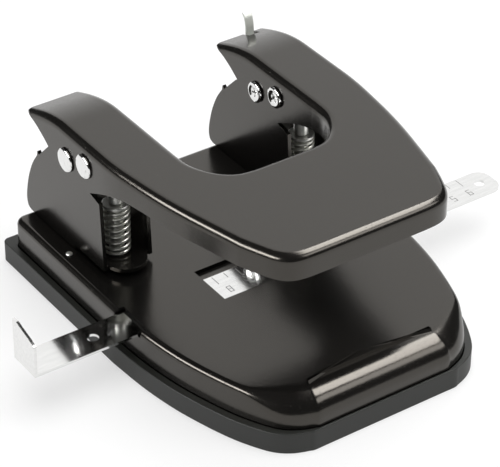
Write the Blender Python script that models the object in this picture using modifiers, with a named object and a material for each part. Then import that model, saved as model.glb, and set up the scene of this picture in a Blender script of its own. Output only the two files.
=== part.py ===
"""Two-hole paper punch for 80 mm hole spacing.

The frame: X is the width, with the two punches at -X and +X, -Y is the front with the grip,
+Y is the rear with the pivots, +Z is up.  The origin is under the middle of the chip tray, on the table.
Sizes are millimetres and MM turns them into metres.
"""
from math import atan2, cos, pi, radians, sin

import bmesh
import bpy
from mathutils import Matrix, Vector

MM = 0.001
GAP = 0.3                     # between pieces that touch or are cut by each other
RUN = 0.08                    # radial clearance of a shaft that turns or slides in a hole

# the two punching stations
SPACING = 80.0                # hole centre to hole centre
PUNCH_X = SPACING / 2
PUNCH_Y = 29.6
PUNCH_R = 2.75
STOP_DEPTH = 12.0             # paper edge to hole centre

# heights
SHEET = 1.2                   # pressed steel of the base plate and the handle
PLATE_TOP = 20.0
THROAT = 2.2                  # paper slot between base plate and punch guide
TRAY_RIM = 8.3
TRAY_FLOOR = 2.0
LEDGE = 3.7                   # step in the tray that carries the base plate

# base plate and chip tray, seen from above
PLATE_HALF = PUNCH_X + 17.8
PLATE_REAR = 72.6
PLATE_FRONT = -76.0
TRAY_HALF = PLATE_HALF + 2.8
TRAY_REAR = 77.0
TRAY_FRONT = -77.2
PLATE_EDGE_SIDE = 2.4         # radius of the plate's folded edge along the sides
PLATE_EDGE_FRONT = 9.0        # and along the front
EDGE_OPENS = 56.0             # how far in front of the origin the side radius starts to grow
EDGE_SPREAD = 16.0            # and over what length

# tower brackets
TOWER_HALF = 10.1
TOWER_SHEET = 1.5
TOWER_FRONT = 22.2
TOWER_REAR = 75.2
WEB_UNDER = PLATE_TOP + THROAT

# die rings and tower rivets
DIE_R = 5.0
DIE_HEIGHT = 3.0
DIE_COLLAR = 1.6              # the collar's height and how far it stands out
RIVET_R = 2.0
RIVET_HEAD_R = 3.6
RIVET_Y = (48.0, 63.0)
RIVET_PLAY = 0.15             # radial room in the rivet holes
PEG = (4.6 - PLATE_HALF, 40.8)           # X and Y of the small locating rivet on the plate's margin
PEG_R = 0.8
PEG_HEAD_R = 1.3

# handle
PIVOT = (41.8, 59.4)          # Y and Z of the hinge axis
LIFT = (29.6, 63.3)           # Y and Z of the post that drives the punches
HANDLE_TOP = 72.0
HANDLE_OUT = PUNCH_X + 12.2   # outer face of an arm
ARM_EASE = 0.6                # how far the outer face has drawn in at the front of an arm
ARM_EASE_Y = 20.0             # where it starts to draw in
HANDLE_IN = PUNCH_X - 11.7    # face towards the U-shaped opening
HANDLE_REAR = 69.3
HANDLE_FRONT = -65.5
GRIP_INSIDE = -13.8           # front of the U-shaped opening
HANDLE_WALL_FOOT = 48.0       # the walls are drawn this deep, then trimmed to their curved edge
HANDLE_FOLD = 3.2
ARM_FRONT = 8.0               # the arms are straight from here to the rear tips
ARM_STEPS = 18

# posts that cross each arm
BARREL_R = 2.0
SHANK_R = 1.5
POST_HEAD_R = 4.6
POST_HEAD = 1.1
SCREW_HEAD_R = 4.2
SCREW_HEAD = 1.5

# punch heads, each with a slot for the lift post
HEAD_HALF_X = 4.0
HEAD_FRONT = 4.6
HEAD_REAR = 4.9
HEAD_LOW = 57.0
HEAD_TOP = 67.2
SLOT_PLAY = 0.2
SLOT_TRAVEL_FRONT = 1.0       # the post swings forward as it goes down
SLOT_TRAVEL_REAR = 0.4

# return springs and the clips that hold their tops
SPRING_R = 4.5
WIRE_R = 0.6
SPRING_TURNS = 7.5
SPRING_POINTS = 13            # points in each turn
CLOSED_TURNS = 0.8            # flat turns at each end
CLOSED_PITCH = 2.2 * WIRE_R
SEAT_PLAY = 0.15
RETAINER_Z = 43.0
CLIP_R = 4.9
CLIP_GROOVE_R = 2.1
CLIP_THICK = 1.0

# paper guide
GUIDE_FRONT = -11.0
GUIDE_REAR = 2.8
GUIDE_THICK = 1.0
GUIDE_TOP = PLATE_TOP - SHEET - 0.2
GUIDE_LEFT = -98.0
GUIDE_RIGHT = 104.6
STOP_HEIGHT = 15.5
GUIDE_HOLE_R = 2.1
GUIDE_HOLES = (GUIDE_LEFT + 27.0, GUIDE_RIGHT - 6.2)
RAIL_HALF = 34.0
SLOT_INSET = 1.6              # the side slots start this far inside the fold of the plate
WINDOW_HALF = 22.3
WINDOW_FRONT = -12.4
WINDOW_REAR = 6.9

# sliding handle lock at the rear of the +X arm
LOCK_X = 43.6
LOCK_WIDTH = 3.4
LOCK_SHEET = 0.9
NOTCH_HALF = 2.3
NOTCH_DEPTH = 4.4             # from the rear tip towards the front


def clear_scene():
    for obj in list(bpy.data.objects):
        bpy.data.objects.remove(obj, do_unlink=True)


def new_collection(name):
    group = bpy.data.collections.new(name)
    bpy.context.scene.collection.children.link(group)
    return group


def material(name, colour, roughness, metallic):
    mat = bpy.data.materials.new(name)
    mat.use_nodes = True
    shader = mat.node_tree.nodes["Principled BSDF"]
    shader.inputs["Base Color"].default_value = (*colour, 1.0)
    shader.inputs["Roughness"].default_value = roughness
    shader.inputs["Metallic"].default_value = metallic
    return mat


# ---- outlines -----------------------------------------------------------------------------------

def arc(centre, radius, start, end, steps):
    """Points on a circular arc, angles in degrees, both ends included."""
    points = []
    for i in range(steps + 1):
        angle = radians(start + (end - start) * i / steps)
        points.append((centre[0] + radius * cos(angle), centre[1] + radius * sin(angle)))
    return points


def smooth_curve(points, steps):
    """A Catmull-Rom curve through the points, with this many steps between each two."""
    result = []
    last = len(points) - 1
    for i in range(last):
        before = Vector(points[max(i - 1, 0)])
        start = Vector(points[i])
        end = Vector(points[i + 1])
        after = Vector(points[min(i + 2, last)])
        for step in range(steps):
            t = step / steps
            place = 0.5 * (2 * start + (end - before) * t
                           + (2 * before - 5 * start + 4 * end - after) * t ** 2
                           + (3 * start - before - 3 * end + after) * t ** 3)
            result.append(tuple(place))
    result.append(tuple(points[-1]))
    return result


def both_sides(right_half):
    """A closed outline from its +X half, listed from the front to the rear."""
    left_half = [(-x, y) for x, y in reversed(right_half)]
    return right_half + left_half


def inset(outline, distance):
    """The outline moved inwards; the outline runs anticlockwise."""
    count = len(outline)
    moved = []
    for i in range(count):
        before = Vector(outline[i - 1])
        here = Vector(outline[i])
        after = Vector(outline[(i + 1) % count])
        first = (here - before).normalized()
        second = (after - here).normalized()
        normal = Vector((-first.y - second.y, first.x + second.x)).normalized()
        stretch = 1.0 / max(normal.dot(Vector((-first.y, first.x))), 0.5)
        moved.append(tuple(here + normal * distance * stretch))
    return moved


def base_outline(half, rear, front, rear_radius):
    """Straight sides that draw in towards a round-cornered front."""
    shape = [
        (half - 30.8, 0.0),
        (half - 24.3, 2.3),
        (half - 19.2, 6.0),
        (half - 15.2, 11.8),
        (half - 10.8, 21.0),
        (half - 6.8, 33.0),
        (half - 3.5, 46.0),
        (half - 1.2, 61.0),
        (half, 78.0),
    ]
    front_part = smooth_curve([(x, front + rise) for x, rise in shape], 3)
    corner = arc((half - rear_radius, rear - rear_radius), rear_radius, 0, 90, 5)
    return both_sides(front_part + corner)


def plate_outline():
    return base_outline(PLATE_HALF, PLATE_REAR, PLATE_FRONT, 4.0)


def tray_outline():
    return base_outline(TRAY_HALF, TRAY_REAR, TRAY_FRONT, 2.5)


# ---- solids -------------------------------------------------------------------------------------

def link_mesh(name, bm, mat, collection, location=(0.0, 0.0, 0.0)):
    """The bmesh as an object whose origin is at location; both are in millimetres."""
    bmesh.ops.recalc_face_normals(bm, faces=bm.faces)
    shift = Matrix.Translation(-Vector(location))
    bmesh.ops.transform(bm, matrix=Matrix.Scale(MM, 4) @ shift, verts=bm.verts)
    mesh = bpy.data.meshes.new(name)
    bm.to_mesh(mesh)
    bm.free()
    obj = bpy.data.objects.new(name, mesh)
    obj.location = Vector(location) * MM
    collection.objects.link(obj)
    if mat is not None:
        mesh.materials.append(mat)
    return obj


def prism(outline, bottom, top):
    """A flat outline in XY, raised from bottom to top."""
    bm = bmesh.new()
    face = bm.faces.new([bm.verts.new((x, y, bottom)) for x, y in outline])
    raised = bmesh.ops.extrude_face_region(bm, geom=[face])
    corners = [item for item in raised["geom"] if isinstance(item, bmesh.types.BMVert)]
    bmesh.ops.translate(bm, verts=corners, vec=(0.0, 0.0, top - bottom))
    return bm


def side_prism(profile, x_start, x_end):
    """An outline in YZ, carried along X."""
    bm = bmesh.new()
    face = bm.faces.new([bm.verts.new((x_start, y, z)) for y, z in profile])
    raised = bmesh.ops.extrude_face_region(bm, geom=[face])
    corners = [item for item in raised["geom"] if isinstance(item, bmesh.types.BMVert)]
    bmesh.ops.translate(bm, verts=corners, vec=(x_end - x_start, 0.0, 0.0))
    return bm


def cylinder(radius, length, centre, axis="Z", sides=24, tip_radius=None):
    bm = bmesh.new()
    tip = radius if tip_radius is None else tip_radius
    bmesh.ops.create_cone(bm, cap_ends=True, segments=sides, radius1=radius, radius2=tip, depth=length)
    turn = Matrix.Identity(4)
    if axis == "X":
        turn = Matrix.Rotation(pi / 2, 4, "Y")
    bmesh.ops.transform(bm, matrix=Matrix.Translation(centre) @ turn, verts=bm.verts)
    return bm


def box(x, y, z):
    """A box from three (low, high) pairs."""
    bm = bmesh.new()
    bmesh.ops.create_cube(bm, size=1.0)
    size = (x[1] - x[0], y[1] - y[0], z[1] - z[0])
    centre = ((x[0] + x[1]) / 2, (y[0] + y[1]) / 2, (z[0] + z[1]) / 2)
    stretch = Matrix.Diagonal((*size, 1.0))
    bmesh.ops.transform(bm, matrix=Matrix.Translation(centre) @ stretch, verts=bm.verts)
    return bm


def boolean(obj, tool_bm, name, operation="DIFFERENCE"):
    tool = link_mesh(f"tool_{obj.name}_{name}", tool_bm, None, TOOLS)
    tool.hide_render = True
    tool.display_type = "WIRE"
    step = obj.modifiers.new(name, "BOOLEAN")
    step.operation = operation
    step.object = tool
    step.solver = "EXACT"


def round_edges(obj, radius, segments=2, limit=40.0):
    bevel = obj.modifiers.new("rounded edges", "BEVEL")
    bevel.width = radius * MM
    bevel.segments = segments
    bevel.limit_method = "ANGLE"
    bevel.angle_limit = radians(limit)


def shade(obj, sharp=35.0):
    obj.data.shade_smooth()
    obj.data.set_sharp_from_angle(angle=radians(sharp))


def attach(child, parent):
    """Parent without moving: no piece here is turned, so only the places are subtracted."""
    child.parent = parent
    child.location = child.location - parent.location


# ---- base ---------------------------------------------------------------------------------------

def chip_tray():
    tray = link_mesh("chip_tray", prism(tray_outline(), 0.0, TRAY_RIM), PLASTIC, PARTS)
    round_edges(tray, 0.8)
    boolean(tray, prism(inset(plate_outline(), -GAP), LEDGE, TRAY_RIM + 2), "plate seat")
    boolean(tray, prism(inset(plate_outline(), 2.6), TRAY_FLOOR, LEDGE + 1), "chip space")
    shade(tray)
    return tray


def plate_edge_radius(point):
    """The folded edge grows from the side radius to the front radius round the front corners."""
    along = min(max((-point[1] - EDGE_OPENS) / EDGE_SPREAD, 0.0), 1.0)
    ease = along * along * (3 - 2 * along)
    return PLATE_EDGE_SIDE + (PLATE_EDGE_FRONT - PLATE_EDGE_SIDE) * ease


def plate_shell():
    """The open skin of the base plate: top, folded edge and upright wall."""
    outline = plate_outline()
    inward = inset(outline, 1.0)
    steps = 5
    bm = bmesh.new()
    rings = []
    for step in range(steps + 1):
        angle = pi / 2 * step / steps
        ring = []
        for here, inner in zip(outline, inward):
            radius = plate_edge_radius(here)
            back = radius * (1 - sin(angle))
            x = here[0] + (inner[0] - here[0]) * back
            y = here[1] + (inner[1] - here[1]) * back
            ring.append(bm.verts.new((x, y, PLATE_TOP - radius * (1 - cos(angle)))))
        rings.append(ring)
    rings.append([bm.verts.new((x, y, LEDGE + GAP)) for x, y in outline])
    for upper, lower in zip(rings, rings[1:]):
        for i in range(len(upper)):
            j = (i + 1) % len(upper)
            bm.faces.new((upper[i], lower[i], lower[j], upper[j]))
    bm.faces.new(rings[0])
    return bm


def base_plate():
    plate = link_mesh("base_plate", plate_shell(), PAINT, PARTS)
    solid = plate.modifiers.new("sheet", "SOLIDIFY")
    solid.thickness = SHEET * MM
    solid.offset = -1.0
    solid.use_even_offset = True
    window = box((-WINDOW_HALF, WINDOW_HALF), (WINDOW_FRONT, WINDOW_REAR), (PLATE_TOP - 3, PLATE_TOP + 3))
    boolean(plate, window, "guide window")
    slot_low = GUIDE_TOP - GUIDE_THICK - 0.4
    for side in (-1, 1):
        inner = side * (PLATE_HALF - PLATE_EDGE_SIDE - SLOT_INSET)
        outer = side * (PLATE_HALF + 5)
        span = (min(inner, outer), max(inner, outer))
        slot = box(span, (GUIDE_FRONT - 0.8, GUIDE_REAR + 0.8), (slot_low, PLATE_TOP + 3))
        boolean(plate, slot, f"guide slot {side}")
        die_hole = cylinder(DIE_R + GAP, 12.0, (side * PUNCH_X, PUNCH_Y, PLATE_TOP))
        boolean(plate, die_hole, f"die hole {side}")
        for y in RIVET_Y:
            rivet_hole = cylinder(RIVET_R + RIVET_PLAY, 12.0, (side * PUNCH_X, y, PLATE_TOP), sides=16)
            boolean(plate, rivet_hole, f"rivet hole {side} {y}")
    boolean(plate, cylinder(PEG_R + RIVET_PLAY, 12.0, (*PEG, PLATE_TOP), sides=16), "locating hole")
    shade(plate)
    return plate


def die(side, name):
    """The hardened ring that the punch enters, with a collar under the plate."""
    top = PLATE_TOP
    bm = cylinder(DIE_R, DIE_HEIGHT, (side * PUNCH_X, PUNCH_Y, top - DIE_HEIGHT / 2))
    ring = link_mesh(name, bm, STEEL, PARTS)
    collar_top = top - SHEET - GAP
    collar = cylinder(DIE_R + DIE_COLLAR, DIE_COLLAR, (side * PUNCH_X, PUNCH_Y, collar_top - DIE_COLLAR / 2))
    boolean(ring, collar, "collar", "UNION")
    boolean(ring, cylinder(PUNCH_R + RUN, 20.0, (side * PUNCH_X, PUNCH_Y, top)), "bore")
    shade(ring)
    return ring


# ---- towers -------------------------------------------------------------------------------------

def tower_cheek_profile():
    """Side view of a tower plate in Y and Z, anticlockwise from the front foot."""
    stop = PUNCH_Y + STOP_DEPTH
    foot = [(TOWER_FRONT, WEB_UNDER), (stop, WEB_UNDER), (stop, PLATE_TOP + GAP)]
    heel = smooth_curve([(72.2, PLATE_TOP + GAP), (74.4, 21.3), (75.2, 24.4), (74.6, 29.2), (72.8, 35.6),
                         (69.9, 42.0), (66.3, 47.3)], 3)
    notch = [(66.0, 49.2), (64.9, 48.2)]
    lug = arc(PIVOT, 6.6, 40, 165, 8)
    brow = [(35.6, 53.2), (29.4, 50.9), (24.1, 49.6)]
    return foot + heel + notch + [(57.5, 55.9)] + lug + brow


def web_profile():
    """Side view of the cross web: it lies on the plate behind the paper stop and bridges the slot."""
    stop = PUNCH_Y + STOP_DEPTH
    low = PLATE_TOP + GAP
    thick = TOWER_SHEET
    return [
        (TOWER_FRONT + 0.4, WEB_UNDER),
        (stop, WEB_UNDER),
        (stop, low),
        (TOWER_REAR - 6.0, low),
        (TOWER_REAR - 6.0, low + thick),
        (stop + thick, low + thick),
        (stop + thick, WEB_UNDER + thick),
        (TOWER_FRONT + 0.4, WEB_UNDER + thick),
    ]


def tower(side, name):
    centre = side * PUNCH_X
    left = centre - TOWER_HALF
    right = centre + TOWER_HALF
    bracket = link_mesh(name, side_prism(tower_cheek_profile(), left, left + TOWER_SHEET), PAINT, PARTS)
    boolean(bracket, side_prism(tower_cheek_profile(), right - TOWER_SHEET, right), "second cheek", "UNION")
    boolean(bracket, side_prism(web_profile(), left + 0.4, right - 0.4), "web", "UNION")
    nose = cylinder(TOWER_HALF - 2.4, TOWER_SHEET, (centre, TOWER_FRONT + 1.6, WEB_UNDER + TOWER_SHEET / 2))
    boolean(bracket, nose, "round nose", "UNION")
    boolean(bracket, cylinder(PUNCH_R + RUN, 20.0, (centre, PUNCH_Y, WEB_UNDER)), "punch guide")
    pivot_bore = cylinder(BARREL_R + RUN, 2 * TOWER_HALF + 6, (centre, *PIVOT), "X", 24)
    boolean(bracket, pivot_bore, "pivot bore")
    for y in RIVET_Y:
        rivet_hole = cylinder(RIVET_R + RIVET_PLAY, 12.0, (centre, y, PLATE_TOP), sides=16)
        boolean(bracket, rivet_hole, f"rivet hole {y}")
    shade(bracket, 25.0)
    return bracket


def rivet(side, y, name):
    """A rivet through the tower web and the base plate, headed on both faces."""
    centre = side * PUNCH_X
    web_top = PLATE_TOP + GAP + TOWER_SHEET + GAP
    plate_low = PLATE_TOP - SHEET - GAP
    middle = (web_top + plate_low) / 2
    shank = cylinder(RIVET_R, web_top - plate_low + 1.0, (centre, y, middle), sides=16)
    body = link_mesh(name, shank, STEEL, PARTS)
    dome = cylinder(RIVET_HEAD_R, 1.2, (centre, y, web_top + 0.6), sides=16, tip_radius=RIVET_HEAD_R * 0.6)
    boolean(body, dome, "formed head", "UNION")
    foot = cylinder(RIVET_HEAD_R, 0.8, (centre, y, plate_low - 0.4), sides=16)
    boolean(body, foot, "lower head", "UNION")
    shade(body, 30.0)
    return body


def locating_rivet():
    """A small bright rivet on the -X margin of the plate."""
    x, y = PEG
    shank = cylinder(PEG_R, 3.0, (x, y, PLATE_TOP - 0.9), sides=16)
    pin = link_mesh("locating_rivet", shank, STEEL, PARTS)
    head = cylinder(PEG_HEAD_R, 0.7, (x, y, PLATE_TOP + 0.55), sides=16, tip_radius=PEG_HEAD_R * 0.6)
    boolean(pin, head, "head", "UNION")
    shade(pin, 30.0)
    return pin


# ---- punches and springs ------------------------------------------------------------------------

def punch(side, name):
    """A round punch with a slotted flat head that the handle's post pushes and lifts."""
    centre = side * PUNCH_X
    tip = WEB_UNDER + 0.2
    length = HEAD_LOW + 2.0 - tip
    place = (centre, PUNCH_Y, tip + length / 2)
    pin = link_mesh(name, cylinder(PUNCH_R, length, place), STEEL, PARTS, location=(centre, PUNCH_Y, tip))
    head = box((centre - HEAD_HALF_X, centre + HEAD_HALF_X), (PUNCH_Y - HEAD_FRONT, PUNCH_Y + HEAD_REAR),
               (HEAD_LOW, HEAD_TOP))
    boolean(pin, head, "head", "UNION")
    reach = BARREL_R + SLOT_PLAY
    slot_y = (PUNCH_Y - reach - SLOT_TRAVEL_FRONT, PUNCH_Y + reach + SLOT_TRAVEL_REAR)
    slot_z = (LIFT[1] - reach, LIFT[1] + reach)
    boolean(pin, box((centre - 8, centre + 8), slot_y, slot_z), "post slot")
    groove = (RETAINER_Z - GAP, RETAINER_Z + CLIP_THICK + GAP)
    boolean(pin, turned_ring((centre, PUNCH_Y), CLIP_GROOVE_R, PUNCH_R + 1.0, *groove), "clip groove")
    shade(pin)
    return pin


def turned_ring(centre, inner, outer, low, high, sides=24):
    """A square-section ring round an upright axis."""
    bm = bmesh.new()
    corners = [(inner, low), (outer, low), (outer, high), (inner, high)]
    loops = []
    for i in range(sides):
        angle = 2 * pi * i / sides
        loops.append([bm.verts.new((centre[0] + r * cos(angle), centre[1] + r * sin(angle), z))
                      for r, z in corners])
    for i in range(sides):
        here = loops[i]
        after = loops[(i + 1) % sides]
        for k in range(4):
            bm.faces.new((here[k], here[(k + 1) % 4], after[(k + 1) % 4], after[k]))
    return bm


def retainer(side, name):
    """The clip in the punch's groove that carries the spring's top end."""
    centre = (side * PUNCH_X, PUNCH_Y)
    bm = turned_ring(centre, CLIP_GROOVE_R + 0.15, CLIP_R, RETAINER_Z, RETAINER_Z + CLIP_THICK)
    clip = link_mesh(name, bm, STEEL, PARTS, location=(*centre, RETAINER_Z))
    shade(clip)
    return clip


def spring(side, name):
    """A compression spring from the tower web to the clip, its end coils lying flat."""
    low = WEB_UNDER + TOWER_SHEET + WIRE_R + SEAT_PLAY
    high = RETAINER_Z - WIRE_R - SEAT_PLAY
    total = int(SPRING_TURNS * SPRING_POINTS)
    curve = bpy.data.curves.new(name, "CURVE")
    curve.dimensions = "3D"
    line = curve.splines.new("POLY")
    line.points.add(total)
    for i in range(total + 1):
        turn = i / SPRING_POINTS
        open_turns = SPRING_TURNS - 2 * CLOSED_TURNS
        share = min(max((turn - CLOSED_TURNS) / open_turns, 0.0), 1.0)
        height = CLOSED_PITCH * min(turn / CLOSED_TURNS, 1.0)
        height += (high - low - 2 * CLOSED_PITCH) * share
        height += CLOSED_PITCH * min(max((turn - CLOSED_TURNS - open_turns) / CLOSED_TURNS, 0.0), 1.0)
        angle = 2 * pi * turn + pi
        line.points[i].co = (SPRING_R * cos(angle) * MM, SPRING_R * sin(angle) * MM, height * MM, 1.0)
    curve.bevel_depth = WIRE_R * MM
    curve.bevel_resolution = 2
    curve.use_fill_caps = True
    coil = bpy.data.objects.new(name, curve)
    coil.location = (side * PUNCH_X * MM, PUNCH_Y * MM, low * MM)
    curve.materials.append(SPRING_STEEL)
    PARTS.objects.link(coil)
    return coil


# ---- handle -------------------------------------------------------------------------------------

def arm_stations():
    """The Y places, front to rear, where an arm's straight sides have points."""
    return [ARM_FRONT + (HANDLE_REAR - ARM_FRONT) * i / ARM_STEPS for i in range(ARM_STEPS + 1)]


def arm_outside(y):
    """The arm's outer face, which draws in gently towards the grip."""
    return HANDLE_OUT - ARM_EASE * (max(0.0, ARM_EASE_Y - y) / (ARM_EASE_Y - ARM_FRONT)) ** 2


def handle_outline():
    """The U-shaped plan, anticlockwise: outside of the +X arm from the front, then round the opening."""
    corner = [(34.2, HANDLE_FRONT), (25.6, -65.2), (20.4, -63.7), (16.8, -60.0), (14.0, -54.2), (11.2, -47.0)]
    flank = [(11.2, -47.0), (7.5, -32.1), (5.6, -24.2), (3.9, -15.9), (2.5, -7.4), (1.4, 1.2)]
    outer = smooth_curve([(HANDLE_OUT - back, y) for back, y in corner], 2)
    outer += smooth_curve([(HANDLE_OUT - back, y) for back, y in flank]
                          + [(arm_outside(ARM_FRONT), ARM_FRONT)], 2)[1:-1]
    outer += [(arm_outside(y), y) for y in arm_stations()]
    inner = [(HANDLE_IN, y) for y in reversed(arm_stations())]
    bight = [(0.0, ARM_FRONT), (0.5, 0.8), (2.7, -4.8), (6.1, -9.6), (10.7, -12.8), (16.3, GRIP_INSIDE)]
    inner += smooth_curve([(HANDLE_IN - back, y) for back, y in bight], 3)[1:]
    return both_sides(outer + inner)


def top_drop(y):
    """How far the arms' top falls towards the rear tips."""
    t = min(max((y - 44.0) / (HANDLE_REAR - 44.0), 0.0), 1.0)
    return 6.2 * t * t * (1.35 - 0.35 * t)


def handle_skin():
    """The open skin: flat top with the arms' ends sloping down, and the walls hanging from it."""
    bm = bmesh.new()
    outline = handle_outline()
    top = bm.faces.new([bm.verts.new((x, y, HANDLE_TOP)) for x, y in outline])
    for y in arm_stations()[:-1]:
        everything = list(bm.verts) + list(bm.edges) + list(bm.faces)
        bmesh.ops.bisect_plane(bm, geom=everything, plane_co=(0, y, 0), plane_no=(0, 1, 0), dist=0.01)
    rim = [edge for edge in bm.edges if edge.is_boundary and not is_rear_edge(edge)]
    raised = bmesh.ops.extrude_edge_only(bm, edges=rim)
    lower = [item for item in raised["geom"] if isinstance(item, bmesh.types.BMVert)]
    bmesh.ops.translate(bm, verts=lower, vec=(0, 0, HANDLE_WALL_FOOT - HANDLE_TOP))
    folds = [edge for edge in bm.edges if is_fold(edge)]
    bmesh.ops.bevel(bm, geom=folds, offset=HANDLE_FOLD, offset_type="OFFSET", segments=3, profile=0.5,
                    affect="EDGES")
    for vert in bm.verts:
        if vert.co.z > HANDLE_WALL_FOOT + 1:
            vert.co.z -= top_drop(vert.co.y)
    return bm


def is_rear_edge(edge):
    return all(vert.co.y > HANDLE_REAR - 0.01 for vert in edge.verts)


def is_fold(edge):
    if len(edge.link_faces) != 2:
        return False
    return edge.calc_face_angle() > radians(60) and all(vert.co.z > HANDLE_TOP - 0.01 for vert in edge.verts)


def wall_edge_cutter():
    """Everything under the walls' lower edge: level at the grip, low round the posts, high at the tips."""
    edge = smooth_curve([(HANDLE_REAR + 0.3, 65.2), (64.5, 64.2), (59.7, 62.0), (54.1, 58.4), (50.2, 55.0),
                         (45.8, 52.1), (41.2, 50.6), (36.4, 50.5), (30.8, 51.9), (23.8, 55.3), (17.3, 58.3),
                         (10.8, 60.5), (4.0, 61.8), (-4.0, 62.4)], 3)
    below = [(-80.0, 62.4), (-80.0, 40.0), (85.0, 40.0), (85.0, 66.4)]
    return side_prism(edge + below, -70.0, 70.0)


def handle():
    body = link_mesh("handle", handle_skin(), PAINT, PARTS, location=(0.0, *PIVOT))
    solid = body.modifiers.new("sheet", "SOLIDIFY")
    solid.thickness = SHEET * MM
    solid.offset = -1.0
    solid.use_even_offset = True
    boolean(body, wall_edge_cutter(), "wall edge")
    for side in (-1, 1):
        centre = side * PUNCH_X
        for spot, name in ((PIVOT, "pivot"), (LIFT, "lift")):
            bore = cylinder(BARREL_R + RUN, 30.0, (centre, *spot), "X", 20)
            boolean(body, bore, f"{name} bore {side}")
    notch_x = (LOCK_X - NOTCH_HALF, LOCK_X + NOTCH_HALF)
    notch_y = (HANDLE_REAR - NOTCH_DEPTH, HANDLE_REAR + 4)
    boolean(body, box(notch_x, notch_y, (58.0, 76.0)), "lock notch")
    shade(body)
    return body


def post(side, spot, name, parent):
    """A binding post across the arm: plain head outside, tapped barrel inside."""
    outer = side * (HANDLE_OUT + GAP)
    inner = side * (HANDLE_IN + 0.4)
    middle = (outer + inner) / 2
    barrel = cylinder(BARREL_R, abs(outer - inner), (middle, *spot), "X", 24)
    body = link_mesh(name, barrel, CHROME, PARTS, location=(side * PUNCH_X, *spot))
    head_middle = outer + side * POST_HEAD / 2
    boolean(body, cylinder(POST_HEAD_R, POST_HEAD, (head_middle, *spot), "X", 24), "head", "UNION")
    thread = cylinder(SHANK_R + 0.1, 12.0, (inner + side * 3.0, *spot), "X", 24)
    boolean(body, thread, "tapped hole")
    shade(body)
    attach(body, parent)
    return body


def post_screw(side, spot, name, parent):
    """The cross-slotted screw that closes a binding post on the arm's inner face."""
    face = side * (HANDLE_IN - GAP)
    tip = side * (HANDLE_IN + 7.0)
    shank = cylinder(SHANK_R, abs(tip - face) + 0.6, ((tip + face) / 2 - side * 0.3, *spot), "X", 24)
    body = link_mesh(name, shank, CHROME, PARTS, location=(side * PUNCH_X, *spot))
    flare = (SCREW_HEAD_R, SCREW_HEAD_R * 0.72)
    if side > 0:
        flare = flare[::-1]
    head = cylinder(flare[0], SCREW_HEAD, (face - side * SCREW_HEAD / 2, *spot), "X", 24, flare[1])
    boolean(body, head, "head", "UNION")
    out = face - side * SCREW_HEAD
    depth = (min(out - side * 1.0, out + side * 0.8), max(out - side * 1.0, out + side * 0.8))
    y, z = spot
    boolean(body, box(depth, (y - 2.2, y + 2.2), (z - 0.45, z + 0.45)), "slot across")
    boolean(body, box(depth, (y - 0.45, y + 0.45), (z - 2.2, z + 2.2)), "slot upright")
    shade(body)
    attach(body, parent)
    return body


# ---- paper guide and lock -----------------------------------------------------------------------

def paper_guide():
    """The sliding strip with an upright side stop for the paper."""
    low = GUIDE_TOP - GUIDE_THICK
    middle = (GUIDE_FRONT + GUIDE_REAR) / 2
    half = (GUIDE_REAR - GUIDE_FRONT) / 2
    corner = 5.0
    end = arc((GUIDE_RIGHT - corner, middle - half + corner), corner, -90, 0, 6)
    end += arc((GUIDE_RIGHT - corner, middle + half - corner), corner, 0, 90, 6)
    outline = [(GUIDE_LEFT, GUIDE_FRONT)] + end + [(GUIDE_LEFT, GUIDE_REAR)]
    strip = link_mesh("paper_guide", prism(outline, low, GUIDE_TOP), CHROME, PARTS, location=(0, middle, low))
    top = GUIDE_TOP + STOP_HEIGHT
    stop = [(GUIDE_FRONT, low), (GUIDE_REAR, low), (GUIDE_REAR, top)]
    stop += smooth_curve([(GUIDE_REAR - 2.4, top), (middle + 1.6, top - 0.9), (GUIDE_FRONT + 2.6, top - 2.6),
                          (GUIDE_FRONT, top - 4.0)], 3)
    boolean(strip, side_prism(stop, GUIDE_LEFT, GUIDE_LEFT + GUIDE_THICK), "side stop", "UNION")
    for x in GUIDE_HOLES:
        boolean(strip, cylinder(GUIDE_HOLE_R, 6.0, (x, middle + 0.1, low)), f"hole {x}")
    shade(strip)
    return strip


def guide_rail():
    """The bracket under the base plate that the paper guide slides in."""
    top = PLATE_TOP - SHEET - GAP
    low = GUIDE_TOP - GUIDE_THICK - 0.2
    wing = 5.0
    wall = 0.9
    side = GUIDE_REAR + 0.35
    near = GUIDE_FRONT - 0.35
    profile = [
        (near - wing, top),
        (near - wing, top - wall),
        (near - wall, top - wall),
        (near - wall, low - wall),
        (side + wall, low - wall),
        (side + wall, top - wall),
        (side + wing, top - wall),
        (side + wing, top),
        (side, top),
        (side, low),
        (near, low),
        (near, top),
    ]
    return link_mesh("guide_rail", side_prism(profile, -RAIL_HALF, RAIL_HALF), STEEL, PARTS)


def lock_slide(parent):
    """A flat catch under the +X arm's top, its thumb tab standing up through the notch."""
    x = (LOCK_X - LOCK_WIDTH / 2, LOCK_X + LOCK_WIDTH / 2)
    spine = [(46.0, 69.0), (52.0, 68.2), (58.0, 66.7), (63.0, 64.9), (66.0, 64.0), (67.6, 64.6), (68.2, 66.4),
             (68.4, 69.4), (69.2, 72.4), (70.6, 74.2)]
    smooth = smooth_curve(spine, 3)
    profile = ribbon(smooth, LOCK_SHEET)
    slide = link_mesh("lock_slide", side_prism(profile, *x), CHROME, PARTS, location=(LOCK_X, 68.0, 66.0))
    shade(slide)
    attach(slide, parent)
    return slide


def ribbon(points, thickness):
    """A closed band of even thickness round an open line."""
    left = []
    right = []
    for i, here in enumerate(points):
        before = points[max(i - 1, 0)]
        after = points[min(i + 1, len(points) - 1)]
        heading = atan2(after[1] - before[1], after[0] - before[0])
        across = (-sin(heading) * thickness / 2, cos(heading) * thickness / 2)
        left.append((here[0] + across[0], here[1] + across[1]))
        right.append((here[0] - across[0], here[1] - across[1]))
    return left + right[::-1]


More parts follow.
